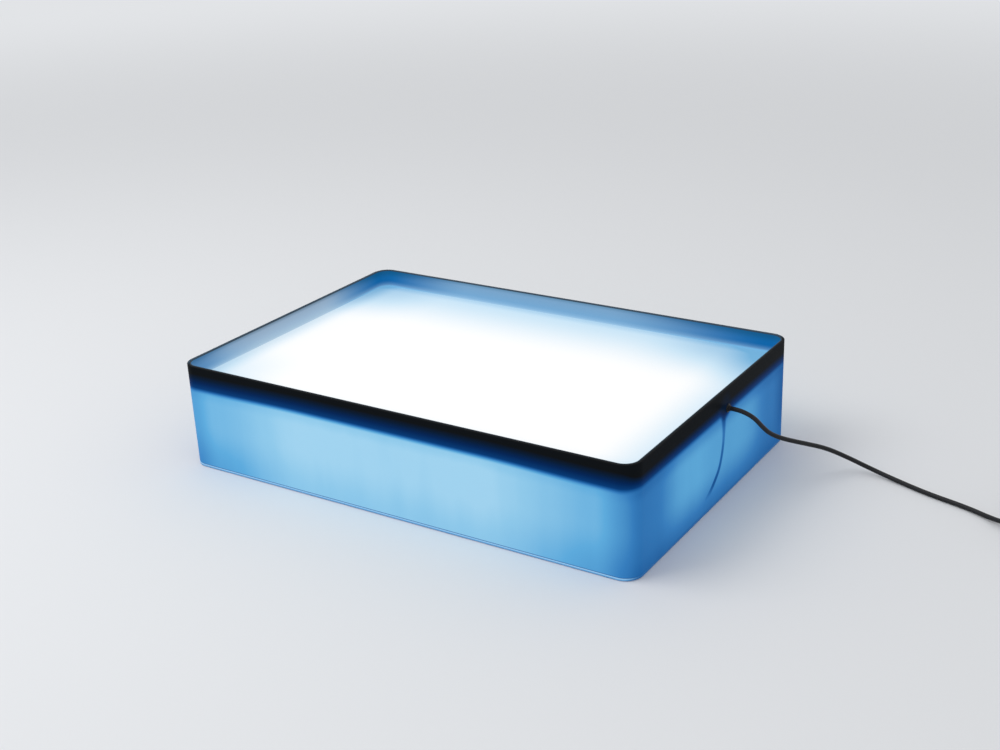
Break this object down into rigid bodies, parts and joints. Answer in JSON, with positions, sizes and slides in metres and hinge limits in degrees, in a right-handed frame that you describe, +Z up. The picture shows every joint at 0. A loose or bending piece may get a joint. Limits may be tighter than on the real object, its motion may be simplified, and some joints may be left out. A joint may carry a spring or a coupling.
{
  "type": "light box",
  "caption": "Classroom light box: translucent tub lit from inside, black band round the top, lift-out tray with an opal light surface, supply lead with switch and adaptor.",
  "frame": {"origin": "middle of the box's footprint on the surface it stands on", "axes": "+X along the long side towards the end where the supply lead leaves, +Y across the box, +Z up"},
  "size_m": [1.0151, 0.4463, 0.13],
  "materials": {
    "base": "satin translucent",
    "pad_rubber": "matte",
    "seal_rubber": "matte",
    "tub": "satin translucent, lit from inside",
    "zinc": "bright zinc",
    "black_band": "matte",
    "rim_black": "satin",
    "black_gland": "matte",
    "black_lead": "satin",
    "reflector": "matte white",
    "white_wire": "satin",
    "white_case": "matte",
    "circuit": "satin",
    "inner_wire": "satin",
    "tie": "matte",
    "black_case": "fine texture",
    "steel": "ground",
    "contact": "satin",
    "rocker": "gloss",
    "pin": "bright",
    "winding": "taped",
    "opal": "opal white, lit from below",
    "tray": "satin translucent white",
    "strip": "white coated",
    "lamp": "clear lens"
  },
  "bodies": {
    "housing": {"base_plate": "base", "foot_pads": "pad_rubber", "base_gasket": "seal_rubber", "translucent_tub": "tub", "base_screws": "zinc", "blackout_frame": "black_band", "edge_trim": "rim_black", "gland_bush": "black_gland", "gland_nut": "black_gland", "lead_sleeve": "black_lead", "reflector_sheet": "reflector", "lamp_strip_1": "strip", "lamp_strip_2": "strip", "lamp_strip_3": "strip", "lamp_strip_4": "strip", "lamp_strip_5": "strip", "lamps_1": "lamp", "lamps_2": "lamp", "lamps_3": "lamp", "lamps_4": "lamp", "lamps_5": "lamp", "strip_screws": "zinc", "strip_link_wires": "white_wire", "driver_case": "white_case", "driver_lid": "white_case", "driver_screws": "zinc", "driver_board": "circuit", "inner_lead": "inner_wire", "driver_output_wire": "white_wire", "lead_to_switch": "black_lead", "lead_to_coil": "black_lead", "lead_coil": "black_lead", "coil_tie": "tie", "switch_base": "black_case", "switch_cover": "black_case", "switch_screws": "zinc", "rocker_axle": "steel", "switch_contacts": "contact", "adaptor_lower_shell": "black_case", "adaptor_upper_shell": "black_case", "adaptor_pins": "pin", "adaptor_board": "circuit", "adaptor_transformer": "winding", "adaptor_sleeve": "black_lead"},
    "tray": {"light_panel": "opal", "tray_wall": "tray", "lead_cover": "tray"},
    "rocker": {"switch_rocker": "rocker"}
  },
  "joints": [
    {"name": "tray_lift", "type": "slide", "parent": "housing", "child": "tray", "axis": [0, 0, 1], "range_m": [0, 0.06]},
    {"name": "rocker_tilt", "type": "hinge", "parent": "housing", "child": "rocker", "pos_m": [0.642, 0.085, 0.0154], "axis": [0, 1, 0], "range_deg": [-14, 0]}
  ]
}
